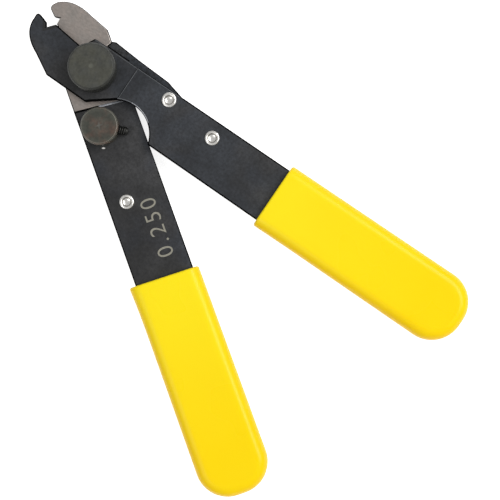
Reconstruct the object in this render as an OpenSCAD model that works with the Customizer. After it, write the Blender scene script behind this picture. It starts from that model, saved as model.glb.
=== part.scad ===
// Fibre stripper: two crossed flat steel levers on one pivot. Hooked jaws with V notches
// strip the fibre, a hairpin spring opens the tool, a set screw stops the closing stroke.
//
// Frame: millimetres, origin on the pivot axis at the plane the tool lies on, +Z out of
// the front face, jaws towards +Y, handles towards -Y. The front lever's handle is on the
// right, the rear lever's on the left. Each lever is drawn in its own frame, +x down its
// handle and +y to the right of it, and is then turned into its open position.

/* [Levers] */
// Angle between the handles with the tool open, degrees
open_angle = 36; // [30:0.1:42]
// Angle the handles close by until the notches meet, degrees
close_angle = 16.3; // [12:0.1:17.2]
// Thickness of each lever
lever_t = 2.5; // [2:0.1:3.5]
// Pivot to the end of the steel inside the grips
steel_end = 117; // [108:0.5:118]
// Front lever: axis to its outer edge
front_outer = 7.05; // [6.5:0.05:7.4]
// Front lever: axis to its inner edge, on the head side of the relief for the stop post
front_inner_neck = 8.35; // [7.9:0.05:8.6]
// Front lever: axis to its inner edge, on the handle side of that relief
front_inner_strap = 8.6; // [8.2:0.05:9]
// Front lever: axis to its inner edge, at the grip
front_inner_grip = 8.9; // [8.6:0.1:10]
// Rear lever: axis to its inner edge
rear_inner = 6.9; // [6.4:0.1:7]
// Rear lever: axis to its outer edge, at the head
rear_outer_neck = 9.1; // [8.4:0.05:9.4]
// Rear lever: axis to its outer edge, at the grip
rear_outer_grip = 9.4; // [8.8:0.05:10]
// Bevel on the corners of the steel inside the grips
steel_bevel = 4; // [2:0.5:5]

/* [Lap joint] */
// Height of the step from each strap down to its lapped head
step_h = 0.4; // [0.2:0.05:0.8]
// Pivot to the step across the front lever's face
front_step_x = 9.55; // [9.2:0.05:11]
// Pivot to the shoulder of the rear lever's ground head, along its axis
shoulder_x = 9.4; // [9.2:0.05:11]
// Lean of that shoulder off square, degrees
shoulder_lean = 5.6; // [0:0.1:8]
// Width of the bevel ground along the shoulder
shoulder_bevel = 0.35; // [0.1:0.05:0.35]
// Gap between the two lapped heads
lap_gap = 0.05; // [0.02:0.01:0.1]

/* [Jaws] */
// Pivot to the tips of the hooks
jaw_reach = 21.1; // [20:0.05:22.5]
// Pivot to the roots of the V notches
notch_r = 17.15; // [16.6:0.05:17.4]
// Turn of the front notch off the lever's axis, degrees
front_notch_turn = 6.6; // [6:0.1:8]
// Angle between the two sides of a notch, degrees
notch_angle = 74; // [60:1:80]
// Lean of the notches towards the pivot, degrees
notch_lean = 3.5; // [0:0.5:6]
// Bore ground in the root of each notch, diameter
notch_root_d = 0.25; // [0.1:0.05:0.6]
// Length of a notch's side towards the hook
hook_side = 1.8; // [1.4:0.1:2.1]
// Length of the front notch's side towards the cutting edge
front_edge_side = 3; // [2.6:0.1:3.3]
// Length of the rear notch's side towards the cutting edge
rear_edge_side = 2.05; // [1.8:0.05:2.4]
// Pivot to the inner ends of the cutting edges
edge_root_x = 6.4; // [6:0.1:7]
// Axis to the inner end of the front cutting edge
front_edge_root = 3.2; // [2.8:0.1:3.8]
// Axis to the inner end of the rear cutting edge
rear_edge_root = 4.4; // [4:0.1:5]
// Pivot to the ends of the straps above the cutting edges
strap_end_x = 4.3; // [3.8:0.1:4.8]
// Pivot to the heels of the jaws
heel_x = 9.4; // [8.8:0.1:10]

/* [Pivot] */
// Outer diameter of the pivot sleeve
sleeve_d = 7; // [6:0.1:7.4]
// Wall of the pivot sleeve
sleeve_wall = 1; // [0.8:0.1:1.4]
// Diameter of the cap nut on the front
cap_d = 12.6; // [11:0.1:13]
// Height of the cap nut
cap_h = 5.2; // [4:0.1:6]
// Chamfer round the cap nut's face
cap_chamfer = 0.5; // [0.2:0.05:0.8]
// Thread engaged inside the cap nut
cap_thread = 3.4; // [2.5:0.1:3.6]
// Diameter of the washer under the cap nut
washer_d = 11; // [10:0.1:12]
// Thickness of the washer under the cap nut
washer_t = 0.3; // [0.2:0.05:0.6]
// Diameter of the pivot screw's head
head_d = 13; // [12.4:0.1:14]
// Thickness of the pivot screw's head
head_t = 0.8; // [0.6:0.05:0.9]

/* [Stop plate] */
// Finger of the stop plate past the pivot, towards the jaws
finger_x = 0.9; // [0.6:0.05:1.2]
// Slant of the finger's end face off square, degrees
finger_slant = 12.6; // [5:0.1:15]
// Axis to the outer edge of the finger
finger_outer = 9.6; // [9:0.1:10]
// Pivot to the corner where the plate's outer edge turns down the handle
plate_corner_x = 8.8; // [8:0.1:9.5]
// Pivot to the place where the plate passes under the strap's edge
plate_dip_x = 22.9; // [21:0.1:23]
// Length of the plate's slope that dips under the strap's edge
plate_dip_len = 2.6; // [2:0.1:3.2]
// Gap between moving edges in one layer
edge_gap = 0.15; // [0.1:0.05:0.2]

/* [Rivets] */
// Near rivet of the stop plate: distance down the handle
near_x = 21.4; // [20:0.1:23]
// Near rivet: distance outwards from the axis
near_y = 4.5; // [4:0.1:4.6]
// Far rivet of the stop plate: distance down the handle
far_x = 36.7; // [34:0.1:40]
// Far rivet: distance outwards from the axis
far_y = 2.55; // [2.2:0.05:2.8]
// Anchor rivet on the rear lever: distance down the handle
anchor_x = 36.3; // [34:0.1:40]
// Anchor rivet: distance outwards from the axis
anchor_y = 3.9; // [3.4:0.1:4.4]
// Shank diameter of the tubular rivets
rivet_d = 2.8; // [2.4:0.1:3]
// Diameter over the rolled rim on the front
rim_d = 4.1; // [3.8:0.1:4.4]
// Height of the rolled rim
rim_h = 0.5; // [0.3:0.05:0.7]
// Bore of the tubular end
rivet_bore = 2; // [1.6:0.1:2]
// Diameter of the head on the back
rivet_head_d = 4.6; // [4.2:0.1:5]
// Thickness of the head on the back
rivet_head_h = 0.6; // [0.5:0.05:0.7]

/* [Stop post and screw] */
// Post: distance down the rear handle
post_x = 15.05; // [14.8:0.05:15.4]
// Post: distance outwards from the rear lever's axis
post_y = 3.55; // [3.2:0.05:3.8]
// Diameter of the post
post_d = 10.1; // [9.5:0.1:10.3]
// Height of the post above the strap
post_h = 4.6; // [4.2:0.1:5.4]
// Chamfer round the post's face
post_chamfer = 0.35; // [0.2:0.05:0.5]
// Diameter of the spigot riveted into the strap
spigot_d = 4; // [3.6:0.1:5]
// Diameter of the set screw
screw_d = 2.5; // [2:0.1:2.6]
// Length of the set screw
screw_len = 9; // [8:0.5:10]
// Angle of the set screw off the rear handle, degrees
screw_angle = 60.6; // [57:0.1:64]
// Travel of the set screw back into the post
screw_travel = 0.8; // [0.4:0.1:1]
// Hexagon socket in the set screw, across corners
screw_hex = 1.5; // [1.2:0.1:1.5]
// Centre of the relief in the front lever: distance down the handle
relief_x = 14.4; // [14:0.1:14.8]
// Centre of the relief: distance inwards from the axis
relief_y = 11.2; // [10.8:0.1:11.5]
// Radius of the relief
relief_r = 9.25; // [9:0.05:9.5]

/* [Return spring] */
// Diameter of the spring wire
wire_d = 1; // [0.8:0.05:1.05]
// Spring past its anchors
spring_tail = 2.6; // [1.5:0.1:5]

/* [Grips] */
// Pivot to the open ends of the grips
grip_from = 58.8; // [50:0.1:64]
// Pivot to the closed end of the front grip
front_grip_to = 119.9; // [119.5:0.1:126]
// Pivot to the closed end of the rear grip
rear_grip_to = 121.3; // [119.5:0.1:126]
// Grip over each flat face of the steel
grip_face = 2; // [1.8:0.1:3]
// Grip over each edge of the steel
grip_side = 1.55; // [1.2:0.05:2.4]
// Swell of each side of a grip from its open end to its closed end
grip_swell = 0.25; // [0:0.05:0.5]
// Corner radius at the closed ends
grip_end_r = 8.6; // [6:0.1:9]
// Depth of the rounding round the open end
grip_lip = 0.6; // [0.3:0.1:1.2]

/* [Fits] */
// Clearance between a turning or sliding round piece and its bore, on the radius
running_fit = 0.05; // [0.02:0.01:0.08]
// Clearance between fixed pieces, on the radius or on each side
fixed_fit = 0.02; // [0.01:0.01:0.04]

/* [Hidden] */
$fn = 64;

// Heights, from the plane the tool lies on
rear_back = grip_face;
rear_top = rear_back + lever_t;
rear_land = rear_top - step_h;
front_land = rear_land + lap_gap;
front_back = front_land + step_h;
front_head_top = front_land + lever_t;
front_top = front_back + lever_t;
plate_back = front_back - lever_t;
washer_from = front_head_top + lap_gap;
cap_from = washer_from + washer_t;
wire_z = rear_back - lap_gap - wire_d / 2;
screw_z = (front_back + front_top) / 2 + 0.1;
through = 40;

// Plan turns of the two levers' own frames, degrees
front_turn = -90 + open_angle / 2;
rear_turn = -90 - open_angle / 2;
closed_angle = open_angle - close_angle;
rear_notch_turn = closed_angle - front_notch_turn;

function polar(r, a) = r * [cos(a), sin(a)];
function turned(p, a) = [p.x * cos(a) - p.y * sin(a), p.x * sin(a) + p.y * cos(a)];
function bend(a, b, c, steps = 12) =
    [for (i = [0 : steps]) let (u = i / steps)
        (1 - u) * (1 - u) * a + 2 * u * (1 - u) * b + u * u * c];

// The V of a notch, from the hook's side to the cutting edge's side. side is 1 for a
// notch that opens towards +y and -1 for one that opens towards -y.
function notch(root, side, edge_side) =
    let (lean = 90 - notch_lean, half = notch_angle / 2)
    [root + hook_side * [cos(lean + half), side * sin(lean + half)],
     root,
     root + edge_side * [cos(lean - half), side * sin(lean - half)]];

front_root = notch_r * [-cos(front_notch_turn), sin(front_notch_turn)];
rear_root = notch_r * [-cos(rear_notch_turn), -sin(rear_notch_turn)];

// Largest radius of the front head's raised back, clear of the rear shoulder
land_r = shoulder_x * cos(shoulder_lean) - edge_gap;
post_place = [post_x, -post_y];
screw_dir = [cos(screw_angle), sin(screw_angle)];
screw_tip_r = screw_d * 0.4;

// Set screw's reach from the post's centre: its round tip meets the wall of the relief
// when the tool is closed.
relief_seen = turned([relief_x, -relief_y], closed_angle);
to_post = post_place - relief_seen;
tip_path = relief_r - screw_tip_r - lap_gap;
along = to_post * screw_dir;
tip_centre = -along + sqrt(along * along - to_post * to_post + tip_path * tip_path);
screw_reach = tip_centre + screw_tip_r;

// Finger of the stop plate and the notch it swings in
finger_inner = max(rear_inner, front_outer) + edge_gap;
finger_foot = [-finger_x, finger_inner];
finger_end_dir = [sin(finger_slant), cos(finger_slant)];
finger_top = finger_foot + (finger_outer - 0.4 - finger_inner) / cos(finger_slant) * finger_end_dir;

sleeve_r = sleeve_d / 2;
shank_r = sleeve_r - sleeve_wall - fixed_fit;
spacer_r = sleeve_r + 0.9;
coil_r = spacer_r + running_fit + wire_d / 2;

steel = "#3b3c3e";
ground = "#8c847e";
yellow = "#ffe01a";
nickel = "#d2d2cc";

// ---- Levers ----

// Steel inside a grip, from just outside its open end to the bevelled end of the lever.
// grow is the room left round it.
module tang(low, high, from, grow = 0) {
    end = steel_end + grow;
    polygon([[from, low - grow], [end - steel_bevel, low - grow],
             [end, low - grow + steel_bevel], [end, high + grow - steel_bevel],
             [end - steel_bevel, high + grow], [from, high + grow]]);
}

module front_outline() {
    nose = bend([-15.2, -5.2], [-0.15 - jaw_reach, -2.5], [-jaw_reach, 2.4]);
    tip = bend([-jaw_reach, 2.6], [-0.3 - jaw_reach, 4.45], [1 - jaw_reach, 4.15], 4);
    tang(-front_inner_grip, front_outer, grip_from - 1);
    difference() {
        polygon(concat(
            [[-strap_end_x, front_outer], [grip_from, front_outer],
             [grip_from, -front_inner_grip],
             [relief_x + relief_r, -front_inner_strap], [relief_x, -front_inner_strap],
             [10.6, -3.4], [9.7, -3.1], [2.7, -front_inner_neck - 0.15],
             [-heel_x - 0.35, -front_inner_neck]],
            nose, tip,
            notch(front_root, 1, front_edge_side),
            [[-edge_root_x, front_edge_root]]));
        translate([relief_x, -relief_y]) circle(r = relief_r);
        translate(front_root) circle(d = notch_root_d);
    }
}

module rear_outline() {
    nose = bend([-14.6, 4], [0.8 - jaw_reach, 1.3], [0.1 - jaw_reach, -3.2]);
    tip = bend([0.1 - jaw_reach, -3.4], [0.1 - jaw_reach, -5.5], [1.3 - jaw_reach, -5.6], 4);
    tang(-rear_outer_grip, rear_inner, grip_from - 1);
    difference() {
        polygon(concat(
            [[-strap_end_x, -rear_outer_neck], [grip_from, -rear_outer_grip],
             [grip_from, rear_inner], [-heel_x, rear_inner]],
            nose, tip,
            notch(rear_root, -1, rear_edge_side),
            [[-edge_root_x, -rear_edge_root]]));
        translate(rear_root) circle(d = notch_root_d);
        finger_notch();
    }
}

// Room for the stop plate's finger: its end wall is the opening stop, and its floor is
// round the pivot.
module finger_notch() {
    inner = turned(finger_foot - 1.5 * finger_end_dir, open_angle) - [lap_gap, 0];
    outer = turned(finger_foot + 5 * finger_end_dir, open_angle) - [lap_gap, 0];
    difference() {
        polygon([inner, outer, [0, outer.y], [0, inner.y]]);
        circle(r = rear_inner);
    }
}

module rivet_hole(x, y) {
    translate([x, y, -1]) cylinder(d = rivet_d + 2 * fixed_fit, h = through);
}

module rear_lever() {
    color(ground) rotate([0, 0, rear_turn]) difference() {
        translate([0, 0, rear_back]) linear_extrude(lever_t) rear_outline();
        // The head is ground down to the lap, with a bevel along the shoulder
        rotate([0, 0, -shoulder_lean])
            translate([shoulder_x * cos(shoulder_lean) - through, -through / 2, rear_land])
                cube([through, through, lever_t]);
        rotate([0, 0, -shoulder_lean])
            translate([shoulder_x * cos(shoulder_lean), 0, rear_top - shoulder_bevel])
                rotate([90, 0, 0]) linear_extrude(through, center = true)
                    polygon([[-0.1, 0], [0, 0], [shoulder_bevel + 0.1, shoulder_bevel + 0.1],
                             [-0.1, shoulder_bevel + 0.1]]);
        translate([0, 0, -1]) cylinder(r = sleeve_r + running_fit, h = through);
        rivet_hole(anchor_x, -anchor_y);
        translate([post_x, -post_y, -1]) cylinder(d = spigot_d + 2 * fixed_fit, h = through);
        translate([post_x, -post_y, rear_back - 0.01])
            cylinder(d1 = spigot_d + 1.6, d2 = spigot_d, h = 0.8);
    }
}

module front_lever() {
    color(steel) rotate([0, 0, front_turn]) difference() {
        union() {
            translate([0, 0, front_back])
                linear_extrude(front_head_top - front_back) front_outline();
            // Strap stands up from the head in front, the head stands down behind
            translate([0, 0, front_head_top]) linear_extrude(step_h) intersection() {
                front_outline();
                translate([front_step_x, -through / 2]) square([steel_end, through]);
            }
            translate([0, 0, front_land]) linear_extrude(step_h) intersection() {
                front_outline();
                union() {
                    circle(r = land_r);
                    translate([-through, -through / 2]) square([through, through]);
                }
            }
        }
        translate([0, 0, -1]) cylinder(r = sleeve_r + running_fit, h = through);
        rivet_hole(near_x, near_y);
        rivet_hole(far_x, far_y);
    }
}

// Plate riveted behind the front strap, in the rear lever's layer. Its finger swings
// beside the rear jaw and stops the tool from opening further.
module stop_plate() {
    end_r = far_y + 1.5;
    slope = tan(closed_angle);
    // Inner edge: clear of the rear strap with the tool closed
    clear_at_pivot = (rear_inner + 3 * edge_gap) / cos(closed_angle);
    near_in = max(0.4, clear_at_pivot - slope * near_x);
    knee = [land_r - 0.7, clear_at_pivot - slope * (land_r - 0.7) + 0.1];
    color(steel) rotate([0, 0, front_turn]) difference() {
        translate([0, 0, plate_back]) linear_extrude(lever_t) polygon(concat(
            [finger_foot, finger_top, finger_top + [1, 0.4],
             [plate_corner_x, finger_outer - 0.6],
             [plate_dip_x - 1.8 * plate_dip_len, finger_outer - 1],
             [plate_dip_x, front_outer + 0.35],
             [plate_dip_x + plate_dip_len, front_outer - 0.4]],
            [for (a = [90 : -15 : -105]) [far_x, far_y] + polar(end_r, a)],
            [[near_x, near_in], knee, [land_r * 0.67, finger_inner]]));
        rivet_hole(near_x, near_y);
        rivet_hole(far_x, far_y);
        // The near rivet's head is sunk flush, so that the spring's leg passes over it
        translate([near_x, near_y, plate_back - 1])
            cylinder(d = rivet_head_d + 2 * fixed_fit, h = rivet_head_h + 1 + fixed_fit);
    }
}

// ---- Pivot ----

module pivot_screw() {
    color(steel) {
        cylinder(d1 = head_d - 0.4, d2 = head_d, h = 0.2);
        translate([0, 0, 0.2]) cylinder(d = head_d, h = head_t - 0.2);
        translate([0, 0, head_t]) cylinder(r = shank_r, h = cap_from + cap_thread - head_t);
    }
}

module ring(outer_r, inner_r, from, to) {
    translate([0, 0, from]) difference() {
        cylinder(r = outer_r, h = to - from);
        translate([0, 0, -1]) cylinder(r = inner_r, h = to - from + 2);
    }
}

module pivot_sleeve() {
    color("#b8b4ac") ring(sleeve_r, sleeve_r - sleeve_wall, head_t, washer_from);
}

module spring_spacer() {
    color("#b8b4ac") ring(spacer_r, sleeve_r + fixed_fit, head_t, rear_back - lap_gap);
}

module cap_washer() {
    color("#6a6a68") ring(washer_d / 2, shank_r + fixed_fit, washer_from, cap_from);
}

module pivot_cap() {
    color("#484944") translate([0, 0, cap_from]) difference() {
        rotate_extrude() polygon([[0, 0], [cap_d / 2, 0], [cap_d / 2, cap_h - cap_chamfer],
                                  [cap_d / 2 - cap_chamfer, cap_h], [0, cap_h]]);
        translate([0, 0, -1]) cylinder(r = shank_r + fixed_fit, h = cap_thread + 1.2);
        translate([0, 0, cap_h - 0.5]) cylinder(d1 = 0, d2 = 1.6, h = 0.51);
    }
}

// ---- Return spring ----

// Leg of the hairpin, from its tangent point on the coil to past its anchor. side is 1
// where the leg leaves the coil on the +y side.
module spring_leg(by, side) {
    reach = norm(by);
    leave = atan2(by.y, by.x) + side * acos(coil_r / reach);
    translate(concat(polar(coil_r, leave), wire_z)) rotate([0, 0, leave - side * 90])
        rotate([0, 90, 0]) cylinder(d = wire_d, h = sqrt(reach * reach - coil_r * coil_r)
            + spring_tail, $fn = 24);
}

front_leg_by = [far_x, far_y - rivet_d / 2 - wire_d / 2 - running_fit];
rear_leg_by = [anchor_x, -anchor_y + rivet_d / 2 + wire_d / 2 + running_fit];
bow_from = front_turn + atan2(front_leg_by.y, front_leg_by.x) + acos(coil_r / norm(front_leg_by));
bow_to = rear_turn + 360 + atan2(rear_leg_by.y, rear_leg_by.x) - acos(coil_r / norm(rear_leg_by));

module return_spring() {
    color("#a8a8a4") {
        translate([0, 0, wire_z]) rotate([0, 0, bow_from])
            rotate_extrude(angle = bow_to - bow_from)
                translate([coil_r, 0]) circle(d = wire_d, $fn = 24);
        rotate([0, 0, front_turn]) spring_leg(front_leg_by, 1);
        rotate([0, 0, rear_turn]) spring_leg(rear_leg_by, -1);
    }
}

// ---- Rivets ----

// Tubular rivet: a head on the back, a rolled rim round its bore on the front. neck is
// the part of the shank that stands out behind the work, where the spring bears. It is
// less than nothing where the head is sunk.
module tubular_rivet(from, to, neck) {
    color(nickel) difference() {
        union() {
            translate([0, 0, from - neck - rivet_head_h]) {
                cylinder(d1 = rivet_head_d - 0.6, d2 = rivet_head_d, h = rivet_head_h / 2);
                translate([0, 0, rivet_head_h / 2])
                    cylinder(d = rivet_head_d, h = rivet_head_h / 2);
            }
            translate([0, 0, from - neck]) cylinder(d = rivet_d, h = to - from + neck);
            translate([0, 0, to]) rotate_extrude() intersection() {
                translate([(rim_d + rivet_bore) / 4, 0])
                    circle(r = (rim_d - rivet_bore) / 4);
                square([rim_d, rim_h]);
            }
        }
        translate([0, 0, to - 1.4]) cylinder(d = rivet_bore, h = 3);
    }
}

module near_rivet() {
    rotate([0, 0, front_turn]) translate([near_x, near_y])
        tubular_rivet(plate_back, front_top, -rivet_head_h);
}

module far_rivet() {
    rotate([0, 0, front_turn]) translate([far_x, far_y])
        tubular_rivet(plate_back, front_top, wire_d + 0.1);
}

module anchor_rivet() {
    rotate([0, 0, rear_turn]) translate([anchor_x, -anchor_y])
        tubular_rivet(rear_back, rear_top, wire_d + 0.05);
}

// ---- Closing stop ----

module along_screw(from) {
    translate([post_x, -post_y, screw_z]) rotate([0, 0, screw_angle]) rotate([0, 90, 0])
        translate([0, 0, from]) children();
}

module stop_post() {
    color("#55504a") rotate([0, 0, rear_turn]) difference() {
        translate([post_x, -post_y]) {
            translate([0, 0, rear_top]) rotate_extrude()
                polygon([[0, 0], [post_d / 2, 0], [post_d / 2, post_h - post_chamfer],
                         [post_d / 2 - post_chamfer, post_h], [0, post_h]]);
            translate([0, 0, rear_back]) cylinder(d = spigot_d, h = lever_t + 0.1);
            translate([0, 0, rear_back]) cylinder(d1 = spigot_d + 1.4, d2 = spigot_d, h = 0.7);
        }
        along_screw(-post_d) cylinder(d = screw_d + 2 * running_fit, h = 2 * post_d);
        translate([post_x, -post_y, rear_top + post_h - 0.4]) cylinder(d1 = 0, d2 = 1.2, h = 0.41);
    }
}

module stop_screw() {
    color("#4a4a48") rotate([0, 0, rear_turn]) difference() {
        union() {
            along_screw(screw_reach - screw_len)
                cylinder(d = screw_d, h = screw_len - screw_d / 2);
            along_screw(screw_reach - screw_d / 2)
                cylinder(d1 = screw_d, d2 = screw_tip_r * 1.6, h = screw_d / 2 - screw_tip_r * 0.4);
            along_screw(tip_centre) sphere(r = screw_tip_r);
        }
        along_screw(screw_reach - screw_len - 1) cylinder(d = screw_hex, h = 2.4, $fn = 6);
    }
}

// ---- Grips ----

// Dipped sleeve: full round edges, a soft lip at the open end, round closed corners
module grip(low, high, from, to) {
    edge_r = grip_face + lever_t / 2;
    bottom = low - grip_side;
    top = high + grip_side;
    mid_z = from + edge_r;
    end_r = grip_end_r + grip_swell;
    color(yellow) difference() {
        hull() {
            for (y = [bottom + edge_r, top - edge_r]) {
                translate([grip_from, y, mid_z]) rotate([0, 90, 0])
                    cylinder(r = edge_r - grip_lip / 2, h = 0.1, $fn = 36);
                translate([grip_from + grip_lip, y, mid_z]) rotate([0, 90, 0])
                    cylinder(r = edge_r, h = 0.1, $fn = 36);
            }
            for (y = [bottom + grip_end_r, top - grip_end_r])
                translate([to - end_r, y, mid_z]) rotate_extrude($fn = 48)
                    translate([end_r - edge_r, 0]) intersection() {
                        circle(r = edge_r, $fn = 36);
                        translate([0, -edge_r]) square([edge_r, 2 * edge_r]);
                    }
        }
        translate([0, 0, mid_z - lever_t / 2 - fixed_fit])
            linear_extrude(lever_t + 2 * fixed_fit)
                tang(low, high, grip_from - 2, fixed_fit);
    }
}

module rear_grip() {
    rotate([0, 0, rear_turn]) grip(-rear_outer_grip, rear_inner, 0, rear_grip_to);
}

module front_grip() {
    rotate([0, 0, front_turn])
        grip(-front_inner_grip, front_outer, front_back - grip_face, front_grip_to);
}

rear_lever();
front_lever();
stop_plate();
pivot_screw();
pivot_sleeve();
spring_spacer();
cap_washer();
pivot_cap();
return_spring();
near_rivet();
far_rivet();
anchor_rivet();
stop_post();
stop_screw();
rear_grip();
front_grip();
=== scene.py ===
import math

import bmesh
import bpy
from mathutils import Matrix, Vector
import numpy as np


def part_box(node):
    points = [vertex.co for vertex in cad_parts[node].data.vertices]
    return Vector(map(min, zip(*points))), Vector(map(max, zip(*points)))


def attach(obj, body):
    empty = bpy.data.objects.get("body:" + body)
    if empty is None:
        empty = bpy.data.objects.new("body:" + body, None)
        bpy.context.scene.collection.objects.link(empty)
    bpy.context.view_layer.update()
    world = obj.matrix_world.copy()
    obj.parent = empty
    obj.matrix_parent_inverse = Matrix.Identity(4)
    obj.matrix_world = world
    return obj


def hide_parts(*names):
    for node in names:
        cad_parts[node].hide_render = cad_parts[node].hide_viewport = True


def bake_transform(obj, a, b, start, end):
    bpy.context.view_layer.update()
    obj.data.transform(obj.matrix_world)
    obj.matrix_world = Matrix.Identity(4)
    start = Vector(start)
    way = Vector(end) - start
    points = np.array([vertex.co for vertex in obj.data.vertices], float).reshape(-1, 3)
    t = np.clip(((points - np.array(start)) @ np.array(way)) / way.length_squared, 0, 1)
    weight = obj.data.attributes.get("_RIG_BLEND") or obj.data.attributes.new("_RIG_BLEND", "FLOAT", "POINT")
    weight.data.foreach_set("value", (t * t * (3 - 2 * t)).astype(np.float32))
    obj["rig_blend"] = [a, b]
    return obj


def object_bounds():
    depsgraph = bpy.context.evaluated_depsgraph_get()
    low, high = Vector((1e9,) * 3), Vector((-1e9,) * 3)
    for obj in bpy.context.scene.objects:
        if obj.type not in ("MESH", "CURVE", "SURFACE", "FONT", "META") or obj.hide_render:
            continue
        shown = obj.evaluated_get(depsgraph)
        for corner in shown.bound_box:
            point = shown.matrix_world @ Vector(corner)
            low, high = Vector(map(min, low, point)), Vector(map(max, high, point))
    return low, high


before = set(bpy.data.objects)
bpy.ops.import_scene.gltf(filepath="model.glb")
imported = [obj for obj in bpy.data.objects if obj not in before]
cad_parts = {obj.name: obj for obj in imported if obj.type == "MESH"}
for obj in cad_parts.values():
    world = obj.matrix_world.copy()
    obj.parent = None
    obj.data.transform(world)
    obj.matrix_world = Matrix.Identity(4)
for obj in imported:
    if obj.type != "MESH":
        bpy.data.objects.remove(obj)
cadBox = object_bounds()

mm = 0.001


# ---- Small helpers ----

def toLinear(hexColour):
    # sRGB hex to the linear numbers the shaders take
    parts = [int(hexColour[i:i + 2], 16) / 255 for i in (1, 3, 5)]
    return tuple(c / 12.92 if c <= 0.04045 else ((c + 0.055) / 1.055) ** 2.4 for c in parts) + (1.0,)


def addNode(tree, kind, settings=None, links=None):
    # settings are properties, or inputs by name or number; links are inputs by name or number
    node = tree.nodes.new(kind)
    for key, value in (settings or {}).items():
        if isinstance(key, str) and hasattr(node, key):
            setattr(node, key, value)
        else:
            node.inputs[key].default_value = value
    for key, socket in (links or {}).items():
        tree.links.new(socket, node.inputs[key])
    return node


def startMaterial(name, **shaderValues):
    material = bpy.data.materials.new(name)
    material.use_nodes = True
    tree = material.node_tree
    tree.nodes.clear()
    out = addNode(tree, "ShaderNodeOutputMaterial")
    shader = addNode(tree, "ShaderNodeBsdfPrincipled", shaderValues)
    tree.links.new(shader.outputs[0], out.inputs["Surface"])
    place = addNode(tree, "ShaderNodeTexCoord").outputs["Object"]
    return material, tree, shader, place


def midOf(node):
    low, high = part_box(node)
    return (Vector(low) + Vector(high)) / 2


# ---- Where the two levers lie ----

pivot = midOf("pivot_cap")  # the pivot's axis stands on this point
openAngle = {
    # each lever's own frame: x down its handle, y to its right, on the pivot's axis
    "rear": math.radians(-108),
    "front": math.radians(-72),
}
topOf = {node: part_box(node)[1][2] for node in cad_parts}
strapTop = {"front": topOf["front_lever"], "rear": topOf["rear_lever"]}


def leverMatrix(side):
    return Matrix.Translation((pivot.x, pivot.y, 0)) @ Matrix.Rotation(openAngle[side], 4, "Z")


# ---- Camera ----

cameraPlace = {
    "east": 3.41 * mm, "north": -64.03 * mm,  # off the pivot's axis
    "height": 300 * mm,  # above the front strap
    "turn": -37.8,  # degrees
    "lens": 80.6,
}
lens = bpy.data.cameras.new("benchCamera")
lens.lens = cameraPlace["lens"]
lens.sensor_width = 36
lens.clip_start, lens.clip_end = 0.01, 20
camera = bpy.data.objects.new("benchCamera", lens)
bpy.context.collection.objects.link(camera)
camera.location = (pivot.x + cameraPlace["east"], pivot.y + cameraPlace["north"],
                   topOf["front_lever"] + cameraPlace["height"])
camera.rotation_euler = (0, 0, math.radians(cameraPlace["turn"]))
bpy.context.scene.camera = camera
bpy.context.scene.view_settings.view_transform = "Standard"
print("camera placed")

# ---- Floor, world and lamps ----

lightSet = {
    "world": 0.5,
    "floor": "#f2f2f0",
    "floorGlow": 0.8,  # only what the camera and the shiny pieces see
    "key": {"power": 3.5, "size": (0.30, 0.62), "away": 0.75,
            "towards": (0.645, -0.221, 0.731)},
    "fill": {"power": 1.1, "size": (0.5, 0.35), "away": 0.8,
             "towards": (-0.68, -0.02, 0.731)},
}

world = bpy.data.worlds.new("studio")
world.use_nodes = True
bpy.context.scene.world = world
worldTree = world.node_tree
worldTree.nodes.clear()
backdrop = addNode(worldTree, "ShaderNodeBackground", {"Color": (1, 1, 1, 1), "Strength": lightSet["world"]})
shownSky = addNode(worldTree, "ShaderNodeBackground", {"Color": (1, 1, 1, 1), "Strength": 1.0})
rays = addNode(worldTree, "ShaderNodeLightPath")
skyMix = addNode(worldTree, "ShaderNodeMixShader", None, {
    0: rays.outputs["Is Camera Ray"], 1: backdrop.outputs[0], 2: shownSky.outputs[0]})
addNode(worldTree, "ShaderNodeOutputWorld", None, {"Surface": skyMix.outputs[0]})

floorMesh = bpy.data.meshes.new("benchTop")
side = 1.6
floorMesh.from_pydata([(-side, -side, 0), (side, -side, 0), (side, side, 0), (-side, side, 0)],
                      [], [(0, 1, 2, 3)])
floor = bpy.data.objects.new("benchTop", floorMesh)
floorMesh.transform(Matrix.Translation((0, 0, cadBox[0][2] - 0.00002)))
bpy.context.collection.objects.link(floor)
# Matt white card: even and soft, it keeps the shadow under the tool
card, cardTree, cardShader, cardPlace = startMaterial(
    "mattWhiteCard", **{"Base Color": toLinear(lightSet["floor"]), "Roughness": 0.9,
                        "Specular IOR Level": 0.2})
cardRays = addNode(cardTree, "ShaderNodeLightPath")
seen = addNode(cardTree, "ShaderNodeMath", {"operation": "MAXIMUM"}, {
    0: cardRays.outputs["Is Camera Ray"], 1: cardRays.outputs["Is Glossy Ray"]})
seenAll = addNode(cardTree, "ShaderNodeMath", {"operation": "MAXIMUM"}, {
    0: seen.outputs[0], 1: cardRays.outputs["Is Transmission Ray"]})
glow = addNode(cardTree, "ShaderNodeMath", {"operation": "MULTIPLY", 1: lightSet["floorGlow"]}, {
    0: seenAll.outputs[0]})
cardShader.inputs["Emission Color"].default_value = (1, 1, 1, 1)
cardTree.links.new(glow.outputs[0], cardShader.inputs["Emission Strength"])
floorMesh.materials.append(card)

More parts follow.
